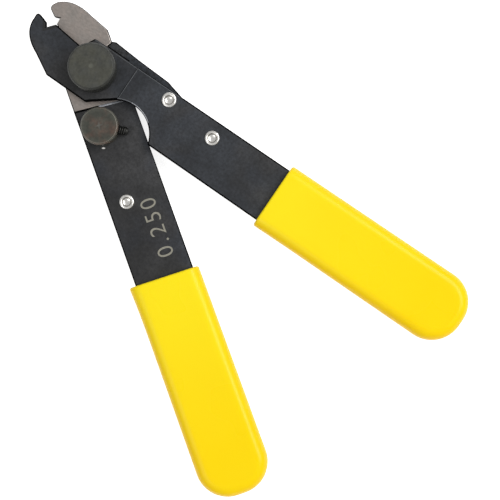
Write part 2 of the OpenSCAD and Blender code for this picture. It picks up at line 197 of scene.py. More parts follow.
middle = (Vector(cadBox[0]) + Vector(cadBox[1])) / 2
for lampName in ("key", "fill"):
    spec = lightSet[lampName]
    lamp = bpy.data.lights.new(lampName + "Softbox", "AREA")
    lamp.shape = "RECTANGLE"
    lamp.size, lamp.size_y = spec["size"]
    lamp.energy = spec["power"]
    lampObject = bpy.data.objects.new(lamp.name, lamp)
    aim = Vector(spec["towards"]).normalized()
    lampObject.location = middle + aim * spec["away"]
    # the long side of the box lies along the left handle
    along = leverMatrix("rear").to_3x3() @ Vector((1, 0, 0))
    across = along.cross(aim).normalized()
    upright = aim.cross(across)
    lampObject.matrix_world = Matrix.Translation(lampObject.location) @ Matrix(
        (across, upright, aim)).transposed().to_4x4()
    bpy.context.collection.objects.link(lampObject)
print("floor and lamps placed")


# ---- Finishes ----

def blackOxideSteel(name, side, tone="#2c2c2d", coolTone="#2a2d33", edgeTone="#17181a", grain=0.8,
                    grainDepth=0.4, notch=None, paintedGlint=None, lean=0.0):
    # Hot-dipped black oxide on tumbled spring steel: an even satin grey-black with a fine
    # grain from the tumbling, cloudy patches from the bath, some of them bluish, and rounded
    # edges painted darker: painted shade along them.
    finish, tree, shader, place = startMaterial(
        name, **{"Metallic": 0.0, "IOR": 1.6, "Specular IOR Level": 0.3})
    # the lever's own frame: x down its handle, from the pivot
    turn = Matrix.Rotation(-openAngle[side], 3, "Z") @ Vector((pivot.x, pivot.y, 0))
    turned = addNode(tree, "ShaderNodeMapping", {
        "Rotation": (0, 0, -openAngle[side]), "Location": tuple(-turn)}, {"Vector": place})
    clouds = addNode(tree, "ShaderNodeTexNoise", {"Scale": 1 / (9 * mm), "Detail": 3.0, "Roughness": 0.55},
                     {"Vector": turned.outputs[0]})
    cloud = addNode(tree, "ShaderNodeMapRange", {
        "interpolation_type": "SMOOTHSTEP", 1: 0.3, 2: 0.7}, {0: clouds.outputs[0]})
    bath = addNode(tree, "ShaderNodeTexNoise", {"Scale": 1 / (14 * mm), "Detail": 2.0}, {"Vector": place})
    bathTone = addNode(tree, "ShaderNodeMapRange", {
        "interpolation_type": "SMOOTHSTEP", 1: 0.42, 2: 0.62}, {0: bath.outputs[0]})
    hue = addNode(tree, "ShaderNodeMix", {
        "data_type": "RGBA", 6: toLinear(tone), 7: toLinear(coolTone)}, {0: bathTone.outputs[0]})
    patchy = addNode(tree, "ShaderNodeMapRange", {1: 0.0, 2: 1.0, 3: 0.72, 4: 1.28}, {
        0: cloud.outputs[0]})
    # lean is how much lighter the strap is painted with each mm across it: a painted shading, darker on one side and
    # lighter on the other
    apart = addNode(tree, "ShaderNodeSeparateXYZ", None, {0: turned.outputs[0]})
    paintedAcrossShade = addNode(tree, "ShaderNodeMapRange", {
        1: -9 * mm, 2: 9 * mm, 3: 1 - 9 * lean, 4: 1 + 9 * lean}, {0: apart.outputs[1]})
    lightness = addNode(tree, "ShaderNodeMath", {"operation": "MULTIPLY"}, {
        0: patchy.outputs[0], 1: paintedAcrossShade.outputs[0]})
    cloudTone = addNode(tree, "ShaderNodeMix", {"data_type": "RGBA", "blend_type": "MULTIPLY", 0: 1.0}, {
        6: hue.outputs[2], 7: lightness.outputs[0]})
    # the real grain is about 0.05 mm; drawn at grain mm so that it shows
    speck = addNode(tree, "ShaderNodeTexNoise", {"Scale": 1 / (grain * mm), "Detail": 3.0, "Roughness": 0.7},
                    {"Vector": turned.outputs[0]})
    speckLight = addNode(tree, "ShaderNodeMapRange", {
        1: 0.3, 2: 0.7, 3: 1 - grainDepth, 4: 1 + grainDepth}, {0: speck.outputs[0]})
    speckTone = addNode(tree, "ShaderNodeMix", {
        "data_type": "RGBA", "blend_type": "MULTIPLY", 0: 1.0}, {
        6: cloudTone.outputs[2], 7: speckLight.outputs[0]})
    # rounded edges are painted toward edgeTone: painted shade along them
    onRoundedEdge = addNode(tree, "ShaderNodeAttribute", {"attribute_name": "roundedEdge"})
    edgeShadeMix = addNode(tree, "ShaderNodeMath", {"operation": "MULTIPLY", 1: 0.75}, {
        0: onRoundedEdge.outputs["Fac"]})
    tint = addNode(tree, "ShaderNodeMix", {"data_type": "RGBA", 7: toLinear(edgeTone)}, {
        0: edgeShadeMix.outputs[0], 6: speckTone.outputs[2]})
    shade = tint.outputs[2]
    if notch:
        # the notch's edges are stoned thin, which leaves a darker olive band beside them
        inward = addNode(tree, "ShaderNodeVectorMath", {"operation": "SUBTRACT", 1: notch["root"]}, {
            0: turned.outputs[0]})
        sides = [addNode(tree, "ShaderNodeVectorMath", {"operation": "DOT_PRODUCT", 1: normal}, {
            0: inward.outputs[0]}).outputs["Value"] for normal in notch["sides"]]
        nearer = addNode(tree, "ShaderNodeMath", {"operation": "MINIMUM"}, {0: sides[0], 1: sides[1]})
        band = addNode(tree, "ShaderNodeMapRange", {
            "interpolation_type": "SMOOTHSTEP", 1: -notch["width"] - 0.12 * mm,
            2: -notch["width"] + 0.12 * mm, 3: 0.0, 4: 0.6}, {0: nearer.outputs[0]})
        stoned = addNode(tree, "ShaderNodeMix", {"data_type": "RGBA", 7: toLinear("#1b1a12")}, {
            0: band.outputs[0], 6: shade})
        shade = stoned.outputs[2]
    if paintedGlint:
        # a painted glint: a small bright spot on the strap beside the post
        shaped = addNode(tree, "ShaderNodeMapping", {
            "vector_type": "TEXTURE", "Location": paintedGlint["at"], "Rotation": (0, 0, paintedGlint["turn"]),
            "Scale": (1.0, paintedGlint["slim"], 1.0)}, {"Vector": turned.outputs[0]})
        reach = addNode(tree, "ShaderNodeVectorMath", {"operation": "LENGTH"}, {0: shaped.outputs[0]})
        glintSpot = addNode(tree, "ShaderNodeMapRange", {
            "interpolation_type": "SMOOTHSTEP", 1: paintedGlint["size"] * 0.35, 2: paintedGlint["size"] * 0.65, 3: 1.0, 4: 0.0},
            {0: reach.outputs["Value"]})
        glinted = addNode(tree, "ShaderNodeMix", {"data_type": "RGBA", 7: toLinear("#dcdad6")}, {
            0: glintSpot.outputs[0], 6: shade})
        shade = glinted.outputs[2]
    tree.links.new(shade, shader.inputs["Base Color"])
    sheen = addNode(tree, "ShaderNodeMapRange", {1: 0.0, 2: 1.0, 3: 0.45, 4: 0.55}, {
        0: cloud.outputs[0]})
    tree.links.new(sheen.outputs[0], shader.inputs["Roughness"])
    bump = addNode(tree, "ShaderNodeBump", {"Strength": 0.22, "Distance": 0.02 * mm}, {
        "Height": speck.outputs[0]})
    tree.links.new(bump.outputs[0], shader.inputs["Normal"])
    return finish


def bareEdgeHighlightSteel(name, lowTone, highTone):
    # A narrow bevel ground or rubbed through the black: bare steel with a coarse, scattering
    # finish, cooler than the wide ground faces; its light tones are partly a painted highlight, so it stays light from
    # every side.
    finish, tree, shader, place = startMaterial(name, **{"Metallic": 0.35})
    # the wheel's marks are about 0.1 mm; drawn at 0.6 mm so that they show
    marks = addNode(tree, "ShaderNodeTexNoise", {"Scale": 1 / (0.6 * mm), "Detail": 3.0}, {"Vector": place})
    drift = addNode(tree, "ShaderNodeTexNoise", {"Scale": 1 / (4 * mm), "Detail": 1.0}, {"Vector": place})
    marked = addNode(tree, "ShaderNodeMapRange", {1: 0.3, 2: 0.7, 3: 0.0, 4: 0.5}, {0: marks.outputs[0]})
    drifted = addNode(tree, "ShaderNodeMapRange", {1: 0.35, 2: 0.65, 3: 0.0, 4: 0.5}, {0: drift.outputs[0]})
    both = addNode(tree, "ShaderNodeMath", {"operation": "ADD"}, {0: marked.outputs[0], 1: drifted.outputs[0]})
    tint = addNode(tree, "ShaderNodeMix", {
        "data_type": "RGBA", 6: toLinear(lowTone), 7: toLinear(highTone)}, {0: both.outputs[0]})
    tree.links.new(tint.outputs[2], shader.inputs["Base Color"])
    rough = addNode(tree, "ShaderNodeMapRange", {1: 0.3, 2: 0.7, 3: 0.45, 4: 0.62}, {0: marks.outputs[0]})
    tree.links.new(rough.outputs[0], shader.inputs["Roughness"])
    return finish


def shearedShadeSteel(name):
    # The blanked sides and broken edges of the levers, blackened but never tumbled smooth:
    # a matt, coarse near-black that hardly shines, made darker than the faces also as painted shade along the edges and
    # sides.
    finish, tree, shader, place = startMaterial(
        name, **{"Specular IOR Level": 0.04, "IOR": 1.5})
    # the shear marks are about 0.1 mm; drawn at 0.5 mm so that they show
    marks = addNode(tree, "ShaderNodeTexNoise", {"Scale": 1 / (0.5 * mm), "Detail": 2.0}, {"Vector": place})
    tint = addNode(tree, "ShaderNodeMix", {
        "data_type": "RGBA", 6: toLinear("#030303"), 7: toLinear("#0a0a0b")}, {0: marks.outputs[0]})
    tree.links.new(tint.outputs[2], shader.inputs["Base Color"])
    rough = addNode(tree, "ShaderNodeMapRange", {1: 0.3, 2: 0.7, 3: 0.8, 4: 0.95}, {0: marks.outputs[0]})
    tree.links.new(rough.outputs[0], shader.inputs["Roughness"])
    return finish


def groundSteel(name, side, lay=0.0):
    # Hardened tool steel, surface-ground after blackening: a dull warm grey with fine
    # straight wheel lines and slight straw-coloured heat patches.
    finish, tree, shader, place = startMaterial(name, **{"Metallic": 1.0})
    turned = addNode(tree, "ShaderNodeMapping", {"Rotation": (0, 0, -openAngle[side] - lay)}, {"Vector": place})
    # wheel lines are about 0.05 mm apart; drawn 0.5 mm apart and 0.9 mm long, as a speckle
    stretched = addNode(tree, "ShaderNodeMapping", {"Scale": (0.55, 1.0, 1.0)}, {"Vector": turned.outputs[0]})
    lines = addNode(tree, "ShaderNodeTexNoise", {"Scale": 1 / (0.5 * mm), "Detail": 3.0, "Roughness": 0.7}, {
        "Vector": stretched.outputs[0]})
    patches = addNode(tree, "ShaderNodeTexNoise", {"Scale": 1 / (3 * mm), "Detail": 3.0}, {
        "Vector": place})
    heat = addNode(tree, "ShaderNodeMix", {
        "data_type": "RGBA", 6: toLinear("#aba8a3"), 7: toLinear("#b4a69e")}, {
        0: patches.outputs[0]})
    streak = addNode(tree, "ShaderNodeMapRange", {1: 0.3, 2: 0.7, 3: 0.82, 4: 1.1}, {
        0: lines.outputs[0]})
    toned = addNode(tree, "ShaderNodeMix", {
        "data_type": "RGBA", "blend_type": "MULTIPLY", 0: 1.0}, {
        6: heat.outputs[2], 7: streak.outputs[0]})
    tree.links.new(toned.outputs[2], shader.inputs["Base Color"])
    rough = addNode(tree, "ShaderNodeMapRange", {1: 0.3, 2: 0.7, 3: 0.38, 4: 0.5}, {
        0: patches.outputs[0]})
    tree.links.new(rough.outputs[0], shader.inputs["Roughness"])
    bump = addNode(tree, "ShaderNodeBump", {"Strength": 0.3, "Distance": 0.01 * mm}, {
        "Height": lines.outputs[0]})
    tree.links.new(bump.outputs[0], shader.inputs["Normal"])
    return finish


def turnedSteel(name, centre, tone, warmTone, roughness, edgeTone, rimTone=None, dotTone=None,
                ringDepth=0.06, ringPitch=0.5, cover=(0.35, 0.65), scratches=None):
    # Bar steel faced on a lathe and then oil-blackened: fine rings round the centre,
    # uneven straw and brown patches where the oil burnt, and a small bright centre mark.
    finish, tree, shader, place = startMaterial(name, **{"Metallic": 0.35})
    centred = addNode(tree, "ShaderNodeMapping", {"Location": (-centre.x, -centre.y, 0)}, {"Vector": place})
    flat = addNode(tree, "ShaderNodeVectorMath", {"operation": "MULTIPLY", 1: (1.0, 1.0, 0.0)}, {
        0: centred.outputs[0]})
    out = addNode(tree, "ShaderNodeVectorMath", {"operation": "LENGTH"}, {0: flat.outputs[0]})
    # the tool marks are about 0.08 mm apart; drawn at ringPitch so that they show
    rings = addNode(tree, "ShaderNodeTexWave", {
        "wave_type": "RINGS", "rings_direction": "Z", "Scale": 1 / (ringPitch * mm) / 20,
        "Distortion": 0.4, "Detail": 1.0}, {"Vector": centred.outputs[0]})
    patches = addNode(tree, "ShaderNodeTexNoise", {"Scale": 1 / (3.5 * mm), "Detail": 4.0}, {
        "Vector": place})
    spread = addNode(tree, "ShaderNodeMapRange", {"interpolation_type": "SMOOTHSTEP", 1: cover[0], 2: cover[1]}, {
        0: patches.outputs[0]})
    burnt = addNode(tree, "ShaderNodeMix", {
        "data_type": "RGBA", 6: toLinear(tone), 7: toLinear(warmTone)}, {0: spread.outputs[0]})
    # grit of 0.1 mm, drawn at 0.7 mm
    grit = addNode(tree, "ShaderNodeTexNoise", {"Scale": 1 / (0.7 * mm), "Detail": 2.0}, {"Vector": place})
    gritLight = addNode(tree, "ShaderNodeMapRange", {1: 0.3, 2: 0.7, 3: 0.84, 4: 1.16}, {0: grit.outputs[0]})
    ringLight = addNode(tree, "ShaderNodeMapRange", {3: 1 - ringDepth, 4: 1 + ringDepth}, {
        0: rings.outputs["Fac"]})
    light = addNode(tree, "ShaderNodeMath", {"operation": "MULTIPLY"}, {
        0: gritLight.outputs[0], 1: ringLight.outputs[0]})
    toned = addNode(tree, "ShaderNodeMix", {
        "data_type": "RGBA", "blend_type": "MULTIPLY", 0: 1.0}, {
        6: burnt.outputs[2], 7: light.outputs[0]})
    shade = toned.outputs[2]
    if dotTone:
        dot = addNode(tree, "ShaderNodeMapRange", {
            "interpolation_type": "SMOOTHSTEP", 1: 0.3 * mm, 2: 0.85 * mm, 3: 1.0, 4: 0.0}, {
            0: out.outputs["Value"]})
        marked = addNode(tree, "ShaderNodeMix", {"data_type": "RGBA", 7: toLinear(dotTone)}, {
            0: dot.outputs[0], 6: shade})
        shade = marked.outputs[2]
    if scratches:
        # two short strokes crossing at the centre, each fading out along its length
        for turn in scratches["turns"]:
            laid = addNode(tree, "ShaderNodeVectorRotate", {"rotation_type": "Z_AXIS", "Angle": turn}, {
                "Vector": flat.outputs[0]})
            pressed = addNode(tree, "ShaderNodeVectorMath", {
                "operation": "MULTIPLY", 1: (1 / scratches["long"], 1 / scratches["wide"], 0)}, {
                0: laid.outputs[0]})
            reach = addNode(tree, "ShaderNodeVectorMath", {"operation": "LENGTH"}, {0: pressed.outputs[0]})
            stroke = addNode(tree, "ShaderNodeMapRange", {
                "interpolation_type": "SMOOTHSTEP", 1: 0.3, 2: 1.0, 3: 0.75, 4: 0.0}, {
                0: reach.outputs["Value"]})
            scored = addNode(tree, "ShaderNodeMix", {"data_type": "RGBA", 7: toLinear(scratches["tone"])}, {
                0: stroke.outputs[0], 6: shade})
            shade = scored.outputs[2]
    # rounded edges are painted edgeTone: painted shade on the cap, a painted highlight round the post's rim
    onRoundedEdge = addNode(tree, "ShaderNodeAttribute", {"attribute_name": "roundedEdge"})
    edgePaint = addNode(tree, "ShaderNodeMath", {"operation": "MULTIPLY", 1: 0.8}, {0: onRoundedEdge.outputs["Fac"]})
    tint = addNode(tree, "ShaderNodeMix", {"data_type": "RGBA", 7: toLinear(edgeTone)}, {
        0: edgePaint.outputs[0], 6: shade})
    tree.links.new(tint.outputs[2], shader.inputs["Base Color"])
    rough = addNode(tree, "ShaderNodeMapRange", {3: roughness - 0.04, 4: roughness + 0.06}, {
        0: patches.outputs[0]})
    tree.links.new(rough.outputs[0], shader.inputs["Roughness"])
    bump = addNode(tree, "ShaderNodeBump", {"Strength": 0.15, "Distance": 0.008 * mm}, {
        "Height": rings.outputs["Fac"]})
    tree.links.new(bump.outputs[0], shader.inputs["Normal"])
    return finish


def brightMetal(name, tone, roughness, smudge=0.12, speckSize=0.5):
    # Drawn or plated metal: mirror-bright with a soft bloom of handling marks.
    finish, tree, shader, place = startMaterial(name, **{"Metallic": 1.0})
    marks = addNode(tree, "ShaderNodeTexNoise", {"Scale": 1 / (speckSize * mm), "Detail": 3.0}, {
        "Vector": place})
    base = toLinear(tone)
    tint = addNode(tree, "ShaderNodeMix", {
        "data_type": "RGBA", 6: tuple(c * 0.82 for c in base[:3]) + (1,), 7: base}, {
        0: marks.outputs[0]})
    tree.links.new(tint.outputs[2], shader.inputs["Base Color"])
    rough = addNode(tree, "ShaderNodeMapRange", {1: 0.3, 2: 0.7, 3: roughness, 4: roughness + smudge}, {
        0: marks.outputs[0]})
    tree.links.new(rough.outputs[0], shader.inputs["Roughness"])
    return finish


def dippedVinyl(name):
    # Plastisol: warm steel dipped in liquid vinyl and cured, so it is glossy and rounded
    # everywhere, with a very slight orange peel. It is painted deeper in colour at the sides, partly
    # for the thicker vinyl there and partly as painted shade, and deeper towards the closed end, a painted shading
    # along the grip.
    finish, tree, shader, place = startMaterial(
        name, **{"IOR": 1.46, "Specular IOR Level": 0.2, "Subsurface Weight": 0.06, "Subsurface Scale": 0.8 * mm,
                 "Subsurface Radius": (1.0, 0.6, 0.1)})
    depth = addNode(tree, "ShaderNodeAttribute", {"attribute_name": "vinylDepthAndShade"})
    pool = addNode(tree, "ShaderNodeTexNoise", {"Scale": 1 / (26 * mm), "Detail": 1.0}, {"Vector": place})
    drift = addNode(tree, "ShaderNodeMapRange", {1: 0.1, 2: 0.9, 3: 0.0, 4: 0.16}, {
        0: pool.outputs[0]})
    deepAndShaded = addNode(tree, "ShaderNodeMath", {"operation": "ADD"}, {
        0: depth.outputs["Fac"], 1: drift.outputs[0]})
    # painted shading along the grip: lighter lemon near the mouth, deeper yellow at the closed end
    fromPivot = addNode(tree, "ShaderNodeVectorMath", {"operation": "DISTANCE", 1: (pivot.x, pivot.y, 0)}, {
        0: place})
    paintedAlong = addNode(tree, "ShaderNodeMapRange", {1: 56 * mm, 2: 108 * mm}, {0: fromPivot.outputs["Value"]})
    lemon = addNode(tree, "ShaderNodeMix", {
        "data_type": "RGBA", 6: toLinear("#ffe91c"), 7: toLinear("#ffdc00")}, {0: paintedAlong.outputs[0]})
    colour = addNode(tree, "ShaderNodeMix", {"data_type": "RGBA", 7: toLinear("#fdc200")}, {
        0: deepAndShaded.outputs[0], 6: lemon.outputs[2]})
    tree.links.new(colour.outputs[2], shader.inputs["Base Color"])
    # orange peel is about 1.5 mm from hill to hill
    peel = addNode(tree, "ShaderNodeTexNoise", {"Scale": 1 / (1.5 * mm), "Detail": 1.0}, {"Vector": place})
    waves = addNode(tree, "ShaderNodeTexNoise", {"Scale": 1 / (12 * mm), "Detail": 1.0}, {"Vector": place})
    rough = addNode(tree, "ShaderNodeMapRange", {1: 0.1, 2: 0.9, 3: 0.22, 4: 0.36}, {
        0: waves.outputs[0]})
    tree.links.new(rough.outputs[0], shader.inputs["Roughness"])
    slow = addNode(tree, "ShaderNodeBump", {"Strength": 0.5, "Distance": 0.12 * mm}, {
        "Height": waves.outputs[0]})
    fine = addNode(tree, "ShaderNodeBump", {"Strength": 0.25, "Distance": 0.012 * mm}, {
        "Height": peel.outputs[0], "Normal": slow.outputs[0]})
    tree.links.new(fine.outputs[0], shader.inputs["Normal"])
    return finish


# the rear strap is painted lighter across its width (lean), a painted shading
blackStrapRear = blackOxideSteel("blackOxideRearLever", "rear", paintedGlint={
    "at": (20.55 * mm, -4.9 * mm, strapTop["rear"]), "turn": math.radians(70), "slim": 0.5,
    "size": 0.88 * mm}, lean=0.035)
blackStrapFront = blackOxideSteel("blackOxideFrontLever", "front", "#2e2e2f", "#2a2d32", notch={
    "root": (-17.04 * mm, 1.97 * mm, 0), "width": 0.75 * mm,
    "sides": ((0.834, 0.552, 0), (-0.76, 0.649, 0))})
castPlate = blackOxideSteel("blackOxideStopPlate", "front", "#2b2c2e", "#292d33", grainDepth=0.8)
bareEdgeHighlight = bareEdgeHighlightSteel("bareGroundEdgeHighlight", "#8b8e93", "#cdd0d6")
rubbedEdgeHighlight = bareEdgeHighlightSteel("rubbedThroughEdgeHighlight", "#4c4e51", "#6f7276")
shearedEdgeShade = shearedShadeSteel("blackenedShearedEdgeShade")
groundRear = groundSteel("groundRearJaw", "rear", 0.6)
groundFront = groundSteel("groundFrontJaw", "front", 0.6)
# its dark edgeTone paints shade on the cap's chamfer and sides
capFinish = turnedSteel("oilBlackCapNut", midOf("pivot_cap"), "#474844", "#4a4a42", 0.46, "#2b2c29",
                        dotTone="#5d5e55")
# its light edgeTone paints a highlight round the post's rim
postFinish = turnedSteel("burntOilStopPost", midOf("stop_post"), "#474841", "#5e4a40", 0.42, "#77736a",
                         ringDepth=0.14, cover=(0.44, 0.74),
                         scratches={"turns": (0.35, -1.1), "long": 1.4 * mm, "wide": 0.38 * mm,
                                    "tone": "#5f5e58"})
screwHead = turnedSteel("oilBlackPivotScrew", midOf("pivot_screw"), "#2a2b2b", "#31302c", 0.45, "#3a3a38")
nickel = brightMetal("nickelPlatedRivet", "#faf8f3", 0.24)
nickelFoldShade = brightMetal("nickelFoldPaintedShade", "#b3b0aa", 0.3)
screwSteel = brightMetal("blackenedSetScrew", "#434341", 0.42)
springWire = brightMetal("zincPlatedMusicWire", "#b9b9b6", 0.26)
sleeveSteel = brightMetal("groundSleeveSteel", "#b0aca4", 0.3)
washerSteel = brightMetal("springSteelWasher", "#6e6c68", 0.4)
vinyl = dippedVinyl("yellowDippedVinyl")
print("finishes made")


# ---- Shapes ----

def toObject(bm, name, matrix=None):
    mesh = bpy.data.meshes.new(name)
    bm.to_mesh(mesh)
    bm.free()
    if matrix is not None:
        mesh.transform(matrix)
    made = bpy.data.objects.new(name, mesh)
    bpy.context.collection.objects.link(made)
    return made


def plainMesh(thing):
    # bakes modifiers and nodes into the object's own mesh
    graph = bpy.context.evaluated_depsgraph_get()
    baked = bpy.data.meshes.new_from_object(thing.evaluated_get(graph), depsgraph=graph)
    thing.modifiers.clear()
    old = thing.data
    thing.data = baked
    bpy.data.meshes.remove(old)
    baked.name = thing.name
    return thing


def steadyNormals(thing):
    # keeps big flat faces flat beside their small rounded edges
    weighted = thing.modifiers.new("steadyNormals", "WEIGHTED_NORMAL")
    weighted.keep_sharp = True
    weighted.weight = 60
    return plainMesh(thing)


def isHard(edge, fromAngle=28):
    return edge.is_manifold and edge.calc_face_angle(0) > math.radians(fromAngle)


def isLevel(edge):
    return abs(edge.verts[0].co.z - edge.verts[1].co.z) < 0.002 * mm


def isLong(edge):
    # the notch root's tiny facets can't take a rounding, nor can the edges that end in them
    return all(e.calc_length() > 0.1 * mm for v in edge.verts for e in v.link_edges if isLevel(e))


def softenedCopy(node, name, radius, steps=3, sharpFrom=28, before=None):
    # a copy of a CAD node with its hard edges rounded, as tumbling leaves them;
    # before may grind some edges first, and those stay crisp
    bm = bmesh.new()
    bm.from_mesh(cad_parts[node].data)
    wear = bm.faces.layers.float.new("roundedEdge")
    bmesh.ops.remove_doubles(bm, verts=bm.verts, dist=0.012 * mm)
    bmesh.ops.dissolve_limit(bm, angle_limit=math.radians(0.6), verts=bm.verts, edges=bm.edges)
    if before:
        before(bm)
    hard = [e for e in bm.edges if isHard(e, sharpFrom) and e.is_convex and isLevel(e) and isLong(e)
            and not any(f.material_index for f in e.link_faces)]
    rounded = bmesh.ops.bevel(bm, geom=hard, offset=radius, offset_type="OFFSET", segments=steps,
                              profile=0.5, affect="EDGES", clamp_overlap=False)
    for face in rounded["faces"]:
        face[wear] = 1.0
    for face in bm.faces:
        face.smooth = True
    return toObject(bm, name)


leverEdges = {
    "radius": 0.38 * mm,
    "shoulder": (7.5 * mm, 11 * mm),  # where the shoulder's bevel lies down the rear lever
    "shoulderLitFrom": -2.3 * mm,  # it is painted bright from here inwards, a ground edge and partly a painted highlight
    "shoulderShadowSeam": 0.2 * mm,  # width of the painted shadow seam at its foot
    "shoulderLip": 0.28 * mm,
    "relief": (14.4 * mm, -11.2 * mm, 9.25 * mm),  # centre and radius of the round relief
    "reliefHighlight": (52, 98),  # degrees of it painted bright as ground steel, partly a painted highlight
    "outerHighlightTo": 23.6 * mm,  # the outer edge's painted highlight runs only as far as the stop plate
}
slots = {"black": 0, "ground": 1, "bareHighlight": 2, "rubbedHighlight": 3, "shearedShade": 4}


def splitAcross(bm, faces, point, normal):
    parts = list(faces) + list({e for f in faces for e in f.edges}) + list({v for f in faces for v in f.verts})
    bmesh.ops.bisect_plane(bm, geom=parts, plane_co=point, plane_no=normal)


def grindShoulder(bm):
    # the bevel along the rear lever's shoulder, with a painted shadow seam at its foot and a lip painted bright
    # inwards, part ground edge and part painted highlight, and near-black outwards as painted shade
    toLever = leverMatrix("rear").inverted()
    turn = toLever.to_3x3()
    fromHere = leverEdges["shoulderLitFrom"]

    def onBevel(face):
        centre, lean = toLever @ face.calc_center_median(), turn @ face.normal
        return (leverEdges["shoulder"][0] < centre.x < leverEdges["shoulder"][1]
                and lean.x < -0.25 and 0.2 < face.normal.z < 0.97)

    def inwards(face):
        return (toLever @ face.calc_center_median()).y > fromHere

    bm.normal_update()
    splitAcross(bm, [f for f in bm.faces if onBevel(f)], leverMatrix("rear") @ Vector((0, fromHere, 0)),
                leverMatrix("rear").to_3x3() @ Vector((0, 1, 0)))
    bm.normal_update()
    bevel = [f for f in bm.faces if onBevel(f)]
    # inwards the bevel is painted bright, part ground edge and part painted highlight; outwards it is near-black,
    # painted shade
    for face in bevel:
        face.material_index = slots["bareHighlight" if inwards(face) else "shearedShade"]
    levels = sorted({round(v.co.z, 6) for f in bevel for v in f.verts})
    foot, lip = ([e for e in {e for f in bevel for e in f.edges}
                  if all(abs(v.co.z - level) < 0.01 * mm for v in e.verts)]
                 for level in (levels[0], levels[-1]))
    along = foot[0].verts[1].co - foot[0].verts[0].co
    apart = along.cross(Vector((0, 0, 1))).normalized()
    if (bevel[0].calc_center_median() - foot[0].verts[0].co).dot(apart) > 0:
        apart.negate()
    start = foot[0].verts[0].co + apart * leverEdges["shoulderShadowSeam"]
    landing = [f for f in {f for e in foot for f in e.link_faces} if f not in bevel]
    splitAcross(bm, landing, start, apart)
    bm.normal_update()
    # the seam beside the foot is painted near-black: a painted shadow
    for face in {f for e in foot if e.is_valid for f in e.link_faces}:
        if face.normal.z > 0.99:
            face.material_index = slots["shearedShade"]
    made = bmesh.ops.bevel(bm, geom=lip, offset=leverEdges["shoulderLip"], offset_type="OFFSET", segments=1,
                           profile=0.5, affect="EDGES", clamp_overlap=False)
    for face in made["faces"]:
        face.material_index = slots["bareHighlight" if inwards(face) else "shearedShade"]


def rubEdges(lever, node):
    # the front lever's upper edges: painted bright as ground steel round part of the relief, and as rubbed-through
    # steel along the outer edge and on the step, both partly painted highlight; near-black, partly painted shade,
    # everywhere else
    toLever = leverMatrix("front").inverted()
    bm = bmesh.new()
    bm.from_mesh(lever.data)
    wear = bm.faces.layers.float["roundedEdge"]
    outer = max((toLever @ v.co).y for v in bm.verts if (toLever @ v.co).x < 20 * mm)
    top = max(v.co.z for v in bm.verts)
    stepX = min((toLever @ v.co).x for v in bm.verts if v.co.z > top - 0.01 * mm)
    reliefX, reliefY, reliefRadius = leverEdges["relief"]
    lowTurn, highTurn = leverEdges["reliefHighlight"]

    def finishAt(point):
        turn = math.degrees(math.atan2(point.y - reliefY, point.x - reliefX))
        if abs(math.hypot(point.x - reliefX, point.y - reliefY) - reliefRadius) < 0.5 * mm:
            return "bareHighlight" if lowTurn < turn < highTurn else "rubbedHighlight" if highTurn < turn < 128 else "shearedShade"
        if point.y > outer - 0.9 * mm and 0.3 * mm < point.x < leverEdges["outerHighlightTo"]:
            return "rubbedHighlight"
        if abs(point.x - stepX) < 0.3 * mm and top - point.z < 0.3 * mm:
            return "rubbedHighlight"
        return "shearedShade"

    bm.normal_update()
    upper = [f for f in bm.faces if f[wear] > 0.5 and f.normal.z > 0.9]
    splitAcross(bm, upper, leverMatrix("front") @ Vector((leverEdges["outerHighlightTo"], 0, 0)),
                leverMatrix("front").to_3x3() @ Vector((1, 0, 0)))
    for face in bm.faces:
        if face[wear] > 0.5 and face.normal.z > 0.3:
            finish = finishAt(toLever @ face.calc_center_median())
            if face.normal.z > 0.9:
                face.material_index = slots[finish]
            elif finish == "rubbedHighlight" and face.calc_center_median().z < top - 0.1 * mm:
                face.material_index = slots["black"]
    bm.to_mesh(lever.data)
    bm.free()


def finishLever(side, node, name, black, ground, before=None):
    lever = softenedCopy(node, name, leverEdges["radius"], before=before)
    for finish in (black, ground, bareEdgeHighlight, rubbedEdgeHighlight, shearedEdgeShade):
        lever.data.materials.append(finish)
    toLever = leverMatrix(side).inverted()
    low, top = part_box(node)[0][2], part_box(node)[1][2]
    wear = lever.data.attributes["roundedEdge"].data
    for face in lever.data.polygons:
        if face.material_index != slots["black"]:
            continue
        up = face.normal.z
        onRoundedEdge = wear[face.index].value > 0.5
        if side == "rear" and up > 0.9 and face.center.z < top - 0.15 * mm and (
                not onRoundedEdge or (toLever @ face.center).x < 8.5 * mm):
            face.material_index = slots["ground"]
        elif side == "front" and up < -0.9 and face.center.z < low + 0.1 * mm:
            face.material_index = slots["ground"]
        # rounded edges and sides go near-black, partly as painted shade
        elif onRoundedEdge or abs(up) < 0.5:
            face.material_index = slots["shearedShade"]
    if side == "front":
        rubEdges(lever, node)
    steadyNormals(lever)
    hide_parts(node)
    return lever


rearLever = finishLever("rear", "rear_lever", "blackenedRearLever", blackStrapRear, groundRear, grindShoulder)
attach(rearLever, "rear_handle")
frontLever = finishLever("front", "front_lever", "blackenedFrontLever", blackStrapFront, groundFront)
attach(frontLever, "front_handle")
plate = softenedCopy("stop_plate", "roughStopPlate", 0.28 * mm)
plate.data.materials.append(castPlate)
plate.data.materials.append(shearedEdgeShade)
plateWear = plate.data.attributes["roundedEdge"].data
# the plate's rounded edges and sides go near-black, partly as painted shade
for face in plate.data.polygons:
    if plateWear[face.index].value > 0.5 or abs(face.normal.z) < 0.5:
        face.material_index = 1
steadyNormals(plate)
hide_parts("stop_plate")
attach(plate, "front_handle")


def easeDimple(thing, centre, depth):
    # the lathe's centre mark is only a shallow dish
    top = max(v.co.z for v in thing.data.vertices)
    for v in thing.data.vertices:
        if (v.co - centre).xy.length < 1 * mm and v.co.z > top - 0.7 * mm:
            v.co.z = top - (top - v.co.z) * depth


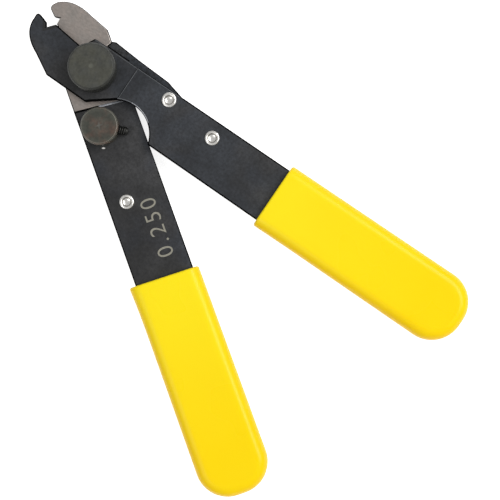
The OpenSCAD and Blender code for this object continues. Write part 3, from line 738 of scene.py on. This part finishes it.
post = softenedCopy("stop_post", "turnedStopPost", 0.08 * mm, sharpFrom=30)
easeDimple(post, midOf("stop_post"), 0.4)
post.data.materials.append(postFinish)
steadyNormals(post)
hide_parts("stop_post")
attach(post, "rear_handle")
cap = softenedCopy("pivot_cap", "turnedCapNut", 0.1 * mm, sharpFrom=30)
easeDimple(cap, midOf("pivot_cap"), 0.12)
capEdgeShade = cap.data.attributes["roundedEdge"].data
for face in cap.data.polygons:
    # its face is left clean; its chamfer and sides are painted darker, a painted shade
    flat = face.normal.z > 0.95 or (face.center - midOf("pivot_cap")).xy.length < 2 * mm
    capEdgeShade[face.index].value = 0.0 if flat else 1.0
cap.data.materials.append(capFinish)
steadyNormals(cap)
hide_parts("pivot_cap")
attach(cap, "rear_handle")
print("levers, plate, post and cap nut made")

plainNodes = {"pivot_screw": screwHead, "pivot_sleeve": sleeveSteel, "spring_spacer": sleeveSteel,
              "cap_washer": washerSteel}
for node, finish in plainNodes.items():
    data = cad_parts[node].data
    data.materials.clear()
    data.materials.append(finish)
print("plain nodes finished")


# ---- Dipped grips ----

gripShape = {
    "sideSteps": 24,  # round each full-round side
    "flatSteps": 10,  # across each flat face
    "cornerSteps": 12,
    "flatSink": 0.12 * mm,  # the flats sink a little between the sides as the vinyl cures
    "lip": 0.65 * mm,  # rounding round the open end
    "endRadius": 8.85 * mm,
    "wall": (1.45 * mm, 1.95 * mm),  # over the edges and over the faces of the steel
    "mouthDepth": 2.5 * mm,
    "cutTurn": {"rear": 1.5, "front": 0.0},  # degrees that the open end is off square
    "flare": {"rear": 0.3 * mm, "front": 0.12 * mm},  # of the outer side where it was rolled on
}


def dippedGrip(side, node, name, body):
    toLever = leverMatrix(side).inverted()
    points = [toLever @ v.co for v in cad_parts[node].data.vertices]
    fromX, toX = min(p.x for p in points), max(p.x for p in points)
    bottom, top = min(p.z for p in points), max(p.z for p in points)
    middle = Vector((0, 0, (bottom + top) / 2))
    halfThick = (top - bottom) / 2
    # widths at the open end and at the closed end
    mouth = [p.y for p in points if p.x < fromX + 1.2 * mm]
    widths = [(min(mouth), max(mouth)), (min(p.y for p in points), max(p.y for p in points))]
    corner = gripShape["endRadius"] - halfThick
    bendFrom = toX - halfThick - corner

    def spread(x):
        along = min(1.0, max(0.0, (x - fromX) / (bendFrom - fromX)))
        low, high = (a + (b - a) * along for a, b in zip(*widths))
        return (low + high) / 2, (high - low) / 2

    lip, wall = gripShape["lip"], gripShape["wall"]
    sideSteps, flatSteps = gripShape["sideSteps"], gripShape["flatSteps"]
    slant = math.tan(math.radians(gripShape["cutTurn"][side]))
    bm = bmesh.new()
    # deeper yellow towards the sides: partly thicker vinyl, partly painted shade
    depth = bm.verts.layers.float.new("vinylDepthAndShade")

    outward = -1  # the flared side

    def addPoint(x, y, z, deepAndShaded):
        fade = max(0.0, 1 - (x - fromX) / (14 * mm))
        flare = gripShape["flare"][side] * fade ** 2 * max(0.0, outward * y / (9 * mm)) ** 3
        y = y + outward * flare
        vert = bm.verts.new(Vector((x + slant * y * fade, y + spread(x)[0], z)) + middle)
        vert[depth] = deepAndShaded
        return vert

    def addRing(x, edge, thick, sideRadius, normal=0.0, sink=0.0):
        # edge is where the flat ends; normal is the side's turn towards the closed end
        ring = []
        nx, ny = math.sin(normal), math.cos(normal)
        for hand in (1, -1):
            for i in range(sideSteps + 1):
                a = hand * (-math.pi / 2 + math.pi * i / sideSteps)
                out = sideRadius * math.cos(a)
                z = thick * math.sin(a)
                ring.append(addPoint(x + nx * out, hand * (edge + ny * out), z, 0.6 * math.cos(a) ** 2))
            for j in range(1, flatSteps):
                u = 1 - 2 * j / flatSteps
                z = hand * (thick - sink * (1 - u * u))
                ring.append(addPoint(x, hand * edge * u, z, 0.0))
        return ring

    rings = []
    # inside of the mouth, out round the lip
    insideEdge = spread(fromX)[1] - wall[0] - (halfThick - wall[1])
    inside = halfThick - wall[1]
    rings.append(addRing(fromX + gripShape["mouthDepth"], insideEdge, inside, inside))
    rings.append(addRing(fromX + 0.25 * mm, insideEdge, inside, inside))
    rings.append(addRing(fromX + 0.03 * mm, insideEdge, inside + 0.25 * mm, inside + 0.25 * mm))
    edge = spread(fromX)[1] - halfThick
    for i in range(7):
        a = math.pi / 2 * i / 6
        inset = lip * (1 - math.sin(a))
        rings.append(addRing(fromX + lip * (1 - math.cos(a)), edge, halfThick - inset, halfThick - inset))
    # along the handle
    steps = 24
    for i in range(1, steps + 1):
        x = fromX + lip + (bendFrom - fromX - lip) * i / steps
        rise = min(1.0, i / 3)
        edge = spread(x)[1] - halfThick
        rings.append(addRing(x, edge, halfThick, halfThick, sink=gripShape["flatSink"] * rise))
    # round the corners of the closed end
    for i in range(1, gripShape["cornerSteps"] + 1):
        b = math.pi / 2 * i / gripShape["cornerSteps"]
        fall = math.cos(b)
        rings.append(addRing(bendFrom + corner * math.sin(b), edge - corner + corner * fall,
                             halfThick, halfThick, normal=b, sink=gripShape["flatSink"] * fall))
    for lower, upper in zip(rings, rings[1:]):
        for i in range(len(lower)):
            j = (i + 1) % len(lower)
            bm.faces.new((lower[i], lower[j], upper[j], upper[i]))
    bm.faces.new(rings[0])
    # the strip between the two corners
    last = rings[-1]
    arcLength = sideSteps + 1
    rightArc = last[:arcLength]
    leftArc = last[arcLength + flatSteps - 1:2 * arcLength + flatSteps - 1][::-1]
    topRow = last[arcLength:arcLength + flatSteps - 1]
    bottomRow = last[2 * arcLength + flatSteps - 1:][::-1]
    flatEdge = edge - corner
    columns = [rightArc]
    for j in range(1, flatSteps):
        y = flatEdge * (1 - 2 * j / flatSteps)
        column = [bottomRow[j - 1]]
        for i in range(1, sideSteps):
            a = -math.pi / 2 + math.pi * i / sideSteps
            column.append(addPoint(toX - halfThick + halfThick * math.cos(a), y,
                                   halfThick * math.sin(a), 0.6 * math.cos(a) ** 2))
        column.append(topRow[j - 1])
        columns.append(column)
    columns.append(leftArc)
    for a, b in zip(columns, columns[1:]):
        for i in range(sideSteps):
            bm.faces.new((a[i], a[i + 1], b[i + 1], b[i]))
    bmesh.ops.recalc_face_normals(bm, faces=bm.faces)
    for face in bm.faces:
        face.smooth = True
    grip = toObject(bm, name, leverMatrix(side))
    grip.data.materials.append(vinyl)
    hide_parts(node)
    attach(grip, body)
    return grip


dippedGrip("rear", "rear_grip", "dippedRearGrip", "rear_handle")
dippedGrip("front", "front_grip", "dippedFrontGrip", "front_handle")
print("grips made")


# ---- Rivets, by geometry nodes ----

rivetSizes = {
    "Bore": 2.3 * mm, "Shank": 2.8 * mm, "Rim": 4.1 * mm, "Rim Height": 0.5 * mm,
    "Head": 4.6 * mm, "Head Height": 0.6 * mm, "Bore Depth": 0.6 * mm,
}


def rivetTree():
    # one tubular rivet: the rolled rim is a tube swept round the bore, and the head a
    # flattened ball, standing at the origin with its work between 0 and Grip
    tree = bpy.data.node_groups.new("tubularRivet", "GeometryNodeTree")
    inputs = {}
    for label in list(rivetSizes) + ["Grip", "Neck"]:
        socket = tree.interface.new_socket(label, in_out="INPUT", socket_type="NodeSocketFloat")
        inputs[label] = socket.identifier
    tree.interface.new_socket("Geometry", in_out="OUTPUT", socket_type="NodeSocketGeometry")
    given = addNode(tree, "NodeGroupInput").outputs
    half = {}
    for label in ("Bore", "Shank", "Rim", "Head"):
        half[label] = addNode(tree, "ShaderNodeMath", {"operation": "MULTIPLY", 1: 0.5}, {
            0: given[label]}).outputs[0]
    # rolled rim
    between = addNode(tree, "ShaderNodeMath", {"operation": "ADD"}, {0: half["Rim"], 1: half["Bore"]})
    rimPath = addNode(tree, "ShaderNodeMath", {"operation": "MULTIPLY", 1: 0.5}, {0: between.outputs[0]})
    wide = addNode(tree, "ShaderNodeMath", {"operation": "SUBTRACT"}, {0: half["Rim"], 1: half["Bore"]})
    tube = addNode(tree, "ShaderNodeMath", {"operation": "MULTIPLY", 1: 0.5}, {0: wide.outputs[0]})
    path = addNode(tree, "GeometryNodeCurvePrimitiveCircle", {"Resolution": 48}, {"Radius": rimPath.outputs[0]})
    loop = addNode(tree, "GeometryNodeCurvePrimitiveCircle", {"Resolution": 20}, {"Radius": tube.outputs[0]})
    rim = addNode(tree, "GeometryNodeCurveToMesh", None, {
        "Curve": path.outputs[0], "Profile Curve": loop.outputs[0]})
    flat = addNode(tree, "ShaderNodeMath", {"operation": "DIVIDE"}, {0: given["Rim Height"], 1: tube.outputs[0]})
    squashed = addNode(tree, "ShaderNodeCombineXYZ", {0: 1.0, 1: 1.0}, {2: flat.outputs[0]})
    lift = addNode(tree, "ShaderNodeCombineXYZ", None, {2: given["Grip"]})
    rimPlaced = addNode(tree, "GeometryNodeTransform", None, {
        "Geometry": rim.outputs[0], "Translation": lift.outputs[0], "Scale": squashed.outputs[0]})
    # shank, from the neck up to the rim; its top is a shallow polished dish
    overall = addNode(tree, "ShaderNodeMath", {"operation": "ADD"}, {0: given["Grip"], 1: given["Neck"]})
    shank = addNode(tree, "GeometryNodeMeshCylinder", {"Vertices": 48, "Fill Segments": 20}, {
        "Radius": half["Shank"], "Depth": overall.outputs[0]})
    halfWall = addNode(tree, "ShaderNodeMath", {"operation": "MULTIPLY", 1: 0.5}, {0: overall.outputs[0]})
    spot = addNode(tree, "GeometryNodeInputPosition")
    place = addNode(tree, "ShaderNodeSeparateXYZ", None, {0: spot.outputs[0]})
    onPlan = addNode(tree, "ShaderNodeVectorMath", {"operation": "MULTIPLY", 1: (1.0, 1.0, 0.0)}, {
        0: spot.outputs[0]})
    outwards = addNode(tree, "ShaderNodeVectorMath", {"operation": "LENGTH"}, {0: onPlan.outputs[0]})
    dishRadius = addNode(tree, "ShaderNodeMath", {"operation": "MULTIPLY", 1: 1.15}, {0: half["Bore"]})
    reach = addNode(tree, "ShaderNodeMath", {"operation": "DIVIDE"}, {
        0: outwards.outputs["Value"], 1: dishRadius.outputs[0]})
    squared = addNode(tree, "ShaderNodeMath", {"operation": "MULTIPLY"}, {0: reach.outputs[0], 1: reach.outputs[0]})
    left = addNode(tree, "ShaderNodeMath", {"operation": "SUBTRACT", "use_clamp": True, 0: 1.0}, {
        1: squared.outputs[0]})
    bowl = addNode(tree, "ShaderNodeMath", {"operation": "SQRT"}, {0: left.outputs[0]})
    sunk = addNode(tree, "ShaderNodeMath", {"operation": "MULTIPLY"}, {0: bowl.outputs[0], 1: given["Bore Depth"]})
    down = addNode(tree, "ShaderNodeMath", {"operation": "MULTIPLY", 1: -1.0}, {0: sunk.outputs[0]})
    downwards = addNode(tree, "ShaderNodeCombineXYZ", None, {2: down.outputs[0]})
    onTop = addNode(tree, "FunctionNodeCompare", {"data_type": "FLOAT", "operation": "GREATER_THAN", 1: 0.0}, {
        0: place.outputs[2]})
    dished = addNode(tree, "GeometryNodeSetPosition", None, {
        "Geometry": shank.outputs[0], "Selection": onTop.outputs[0], "Offset": downwards.outputs[0]})
    shankMid = addNode(tree, "ShaderNodeMath", {"operation": "SUBTRACT"}, {
        0: halfWall.outputs[0], 1: given["Neck"]})
    shankLift = addNode(tree, "ShaderNodeCombineXYZ", None, {2: shankMid.outputs[0]})
    shankPlaced = addNode(tree, "GeometryNodeTransform", None, {
        "Geometry": dished.outputs[0], "Translation": shankLift.outputs[0]})
    # formed head, with a flat crown
    ball = addNode(tree, "GeometryNodeMeshUVSphere", {"Segments": 48, "Rings": 16}, {"Radius": half["Head"]})
    headRatio = addNode(tree, "ShaderNodeMath", {"operation": "DIVIDE"}, {0: given["Head Height"], 1: half["Head"]})
    headScale = addNode(tree, "ShaderNodeCombineXYZ", {0: 1.0, 1: 1.0}, {2: headRatio.outputs[0]})
    headLow = addNode(tree, "ShaderNodeMath", {"operation": "MULTIPLY", 1: -1.0}, {0: given["Neck"]})
    headLift = addNode(tree, "ShaderNodeCombineXYZ", None, {2: headLow.outputs[0]})
    headPlaced = addNode(tree, "GeometryNodeTransform", None, {
        "Geometry": ball.outputs[0], "Translation": headLift.outputs[0], "Scale": headScale.outputs[0]})
    whole = addNode(tree, "GeometryNodeJoinGeometry")
    for part in (rimPlaced, shankPlaced, headPlaced):
        tree.links.new(part.outputs[0], whole.inputs[0])
    smooth = addNode(tree, "GeometryNodeSetShadeSmooth", None, {"Geometry": whole.outputs[0]})
    real = addNode(tree, "GeometryNodeRealizeInstances", None, {"Geometry": smooth.outputs[0]})
    coated = addNode(tree, "GeometryNodeSetMaterial", {"Material": nickel}, {"Geometry": real.outputs[0]})
    # the fold between rim and dish is painted darker: painted shade in the crease
    foldFrom = addNode(tree, "ShaderNodeMath", {"operation": "MULTIPLY", 1: 0.84}, {0: half["Bore"]})
    foldTo = addNode(tree, "ShaderNodeMath", {"operation": "MULTIPLY", 1: 1.06}, {0: half["Bore"]})
    past = addNode(tree, "FunctionNodeCompare", {"data_type": "FLOAT", "operation": "GREATER_THAN"}, {
        0: outwards.outputs["Value"], 1: foldFrom.outputs[0]})
    short = addNode(tree, "FunctionNodeCompare", {"data_type": "FLOAT", "operation": "LESS_THAN"}, {
        0: outwards.outputs["Value"], 1: foldTo.outputs[0]})
    ringed = addNode(tree, "FunctionNodeBooleanMath", {"operation": "AND"}, {0: past.outputs[0], 1: short.outputs[0]})
    dishLow = addNode(tree, "ShaderNodeMath", {"operation": "SUBTRACT"}, {0: given["Grip"], 1: given["Bore Depth"]})
    upper = addNode(tree, "FunctionNodeCompare", {"data_type": "FLOAT", "operation": "GREATER_THAN"}, {
        0: place.outputs[2], 1: dishLow.outputs[0]})
    inFold = addNode(tree, "FunctionNodeBooleanMath", {"operation": "AND"}, {0: ringed.outputs[0], 1: upper.outputs[0]})
    folded = addNode(tree, "GeometryNodeSetMaterial", {"Material": nickelFoldShade}, {
        "Geometry": coated.outputs[0], "Selection": inFold.outputs[0]})
    out = addNode(tree, "NodeGroupOutput")
    tree.links.new(folded.outputs[0], out.inputs[0])
    return tree, inputs


rivetNodes, rivetInputs = rivetTree()


def setRivet(node, name, body, workTop, workBottom, neck):
    spot = midOf(node)
    thing = toObject(bmesh.new(), name)
    modifier = thing.modifiers.new("rivet", "NODES")
    modifier.node_group = rivetNodes
    values = dict(rivetSizes, Grip=workTop - workBottom, Neck=neck)
    for label, value in values.items():
        modifier[rivetInputs[label]] = value
    plainMesh(thing)
    thing.data.transform(Matrix.Translation((spot.x, spot.y, workBottom)))
    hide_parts(node)
    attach(thing, body)


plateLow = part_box("stop_plate")[0][2]
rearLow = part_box("rear_lever")[0][2]
headHeight = rivetSizes["Head Height"]
setRivet("near_rivet", "nearTubularRivet", "front_handle", strapTop["front"], plateLow + headHeight, 0)
setRivet("far_rivet", "farTubularRivet", "front_handle", strapTop["front"], plateLow, 1.1 * mm)
setRivet("anchor_rivet", "anchorTubularRivet", "rear_handle", strapTop["rear"], rearLow, 1.05 * mm)
print("rivets set")


# ---- Stop screw, its thread by geometry nodes ----

screwShape = {"Diameter": 2.5 * mm, "Pitch": 0.6 * mm, "Length": 9 * mm, "Tip": 0.35 * mm,
              "turn": math.radians(60.6)}


def threadTree():
    # a core and one long spiral ridge round it
    tree = bpy.data.node_groups.new("rolledThread", "GeometryNodeTree")
    inputs = {}
    for label in ("Diameter", "Pitch", "Length", "Tip"):
        inputs[label] = tree.interface.new_socket(
            label, in_out="INPUT", socket_type="NodeSocketFloat").identifier
    tree.interface.new_socket("Geometry", in_out="OUTPUT", socket_type="NodeSocketGeometry")
    given = addNode(tree, "NodeGroupInput").outputs
    radius = addNode(tree, "ShaderNodeMath", {"operation": "MULTIPLY", 1: 0.5}, {0: given["Diameter"]})
    groove = addNode(tree, "ShaderNodeMath", {"operation": "MULTIPLY", 1: 0.55}, {0: given["Pitch"]})
    core = addNode(tree, "ShaderNodeMath", {"operation": "SUBTRACT"}, {0: radius.outputs[0], 1: groove.outputs[0]})
    threaded = addNode(tree, "ShaderNodeMath", {"operation": "SUBTRACT"}, {0: given["Length"], 1: given["Tip"]})
    turns = addNode(tree, "ShaderNodeMath", {"operation": "DIVIDE"}, {0: threaded.outputs[0], 1: given["Pitch"]})
    ridgeRadius = addNode(tree, "ShaderNodeMath", {"operation": "MULTIPLY", 1: 0.5}, {0: given["Pitch"]})
    path = addNode(tree, "ShaderNodeMath", {"operation": "SUBTRACT"}, {
        0: radius.outputs[0], 1: ridgeRadius.outputs[0]})
    spiral = addNode(tree, "GeometryNodeCurveSpiral", {"Resolution": 30}, {
        "Rotations": turns.outputs[0], "Start Radius": path.outputs[0], "End Radius": path.outputs[0],
        "Height": threaded.outputs[0]})
    ridge = addNode(tree, "GeometryNodeCurvePrimitiveCircle", {"Resolution": 4}, {"Radius": ridgeRadius.outputs[0]})
    thread = addNode(tree, "GeometryNodeCurveToMesh", {"Fill Caps": True}, {
        "Curve": spiral.outputs[0], "Profile Curve": ridge.outputs[0]})
    rod = addNode(tree, "GeometryNodeMeshCylinder", {"Vertices": 32}, {
        "Radius": core.outputs[0], "Depth": threaded.outputs[0]})
    halfRod = addNode(tree, "ShaderNodeMath", {"operation": "MULTIPLY", 1: 0.5}, {0: threaded.outputs[0]})
    rodLift = addNode(tree, "ShaderNodeCombineXYZ", None, {2: halfRod.outputs[0]})
    rodPlaced = addNode(tree, "GeometryNodeTransform", None, {
        "Geometry": rod.outputs[0], "Translation": rodLift.outputs[0]})
    tipRadius = addNode(tree, "ShaderNodeMath", {"operation": "MULTIPLY", 1: 0.8}, {0: core.outputs[0]})
    tip = addNode(tree, "GeometryNodeMeshCone", {"Vertices": 32, "Side Segments": 2}, {
        "Radius Bottom": core.outputs[0], "Radius Top": tipRadius.outputs[0], "Depth": given["Tip"]})
    tipLift = addNode(tree, "ShaderNodeCombineXYZ", None, {2: threaded.outputs[0]})
    tipPlaced = addNode(tree, "GeometryNodeTransform", None, {
        "Geometry": tip.outputs[0], "Translation": tipLift.outputs[0]})
    whole = addNode(tree, "GeometryNodeJoinGeometry")
    for part in (thread, rodPlaced, tipPlaced):
        tree.links.new(part.outputs[0], whole.inputs[0])
    real = addNode(tree, "GeometryNodeRealizeInstances", None, {"Geometry": whole.outputs[0]})
    coated = addNode(tree, "GeometryNodeSetMaterial", {"Material": screwSteel}, {"Geometry": real.outputs[0]})
    out = addNode(tree, "NodeGroupOutput")
    tree.links.new(coated.outputs[0], out.inputs[0])
    return tree, inputs


def makeStopScrew():
    threadNodes, threadInputs = threadTree()
    screw = toObject(bmesh.new(), "threadedStopScrew")
    modifier = screw.modifiers.new("thread", "NODES")
    modifier.node_group = threadNodes
    for label in ("Diameter", "Pitch", "Length", "Tip"):
        modifier[threadInputs[label]] = screwShape[label]
    plainMesh(screw)
    # the screw's own box runs along its axis, so its middle is the middle of its length
    middlePoint = midOf("stop_screw")
    turn = openAngle["rear"] + screwShape["turn"]
    axis = Vector((math.cos(turn), math.sin(turn), 0))
    start = middlePoint - axis * screwShape["Length"] / 2
    screw.data.transform(Matrix.Translation(start) @ Matrix.Rotation(turn, 4, "Z")
                         @ Matrix.Rotation(math.pi / 2, 4, "Y"))
    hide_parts("stop_screw")
    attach(screw, "closing_stop")


makeStopScrew()
print("stop screw made")


# ---- Hairpin spring ----

springShape = {"wire": 1.0 * mm, "coil": 5.0 * mm, "around": 16}


def makeSpring():
    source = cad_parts["return_spring"].data
    bm = bmesh.new()
    bm.from_mesh(source)
    bmesh.ops.remove_doubles(bm, verts=bm.verts, dist=0.002 * mm)
    hard = [e for e in bm.edges if e.is_manifold and e.calc_face_angle(0) > math.radians(50)]
    bmesh.ops.bevel(bm, geom=hard, offset=0.12 * mm, offset_type="OFFSET", segments=2, profile=0.5,
                    affect="EDGES", clamp_overlap=True)
    for face in bm.faces:
        face.smooth = True
    spring = toObject(bm, "hairpinReturnSpring")
    spring.data.materials.append(springWire)
    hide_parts("return_spring")
    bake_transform(spring, "rear_handle", "front_handle", start=(pivot.x - 4 * mm, pivot.y, 0),
             end=(pivot.x + 4 * mm, pivot.y, 0))


makeSpring()
print("spring made")


# ---- Etched size mark ----

sizeMark = {"text": "0.250", "height": 4.5 * mm, "down": 45.6 * mm, "inwards": 1.6 * mm,
            "thick": 0.004 * mm, "stretch": 1.24, "slimmer": 0.05 * mm}


def etchMark():
    # Laser-etched: the black is burnt off to a dull grey, with soft uneven edges.
    finish, tree, shader, place = startMaterial("laserEtchedSteel", **{"Metallic": 0.2})
    grain = addNode(tree, "ShaderNodeTexNoise", {"Scale": 1 / (0.4 * mm), "Detail": 3.0}, {"Vector": place})
    tone = addNode(tree, "ShaderNodeMix", {
        "data_type": "RGBA", 6: toLinear("#77746a"), 7: toLinear("#a5a294")}, {0: grain.outputs[0]})
    tree.links.new(tone.outputs[2], shader.inputs["Base Color"])
    rough = addNode(tree, "ShaderNodeMapRange", {1: 0.3, 2: 0.7, 3: 0.5, 4: 0.7}, {0: grain.outputs[0]})
    tree.links.new(rough.outputs[0], shader.inputs["Roughness"])
    curve = bpy.data.curves.new("etchedSizeMark", "FONT")
    curve.body = sizeMark["text"]
    curve.size = sizeMark["height"] / 0.72
    curve.align_x = "CENTER"
    curve.align_y = "CENTER"
    curve.space_character = sizeMark["stretch"]
    curve.extrude = sizeMark["thick"]
    curve.offset = -sizeMark["slimmer"]
    words = bpy.data.objects.new("etchedSizeMark", curve)
    bpy.context.collection.objects.link(words)
    graph = bpy.context.evaluated_depsgraph_get()
    mesh = bpy.data.meshes.new_from_object(words.evaluated_get(graph))
    bpy.data.objects.remove(words)
    bm = bmesh.new()
    bm.from_mesh(mesh)
    bmesh.ops.remove_doubles(bm, verts=bm.verts, dist=0.001 * mm)
    bpy.data.meshes.remove(mesh)
    # it reads from the grip towards the pivot
    place = leverMatrix("rear") @ Matrix.Translation(
        (sizeMark["down"], sizeMark["inwards"], strapTop["rear"] + sizeMark["thick"])) @ Matrix.Rotation(
        math.pi, 4, "Z")
    mark = toObject(bm, "etchedSizeMark", place)
    mark.data.materials.append(finish)
    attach(mark, "rear_handle")


etchMark()
print("size mark etched")
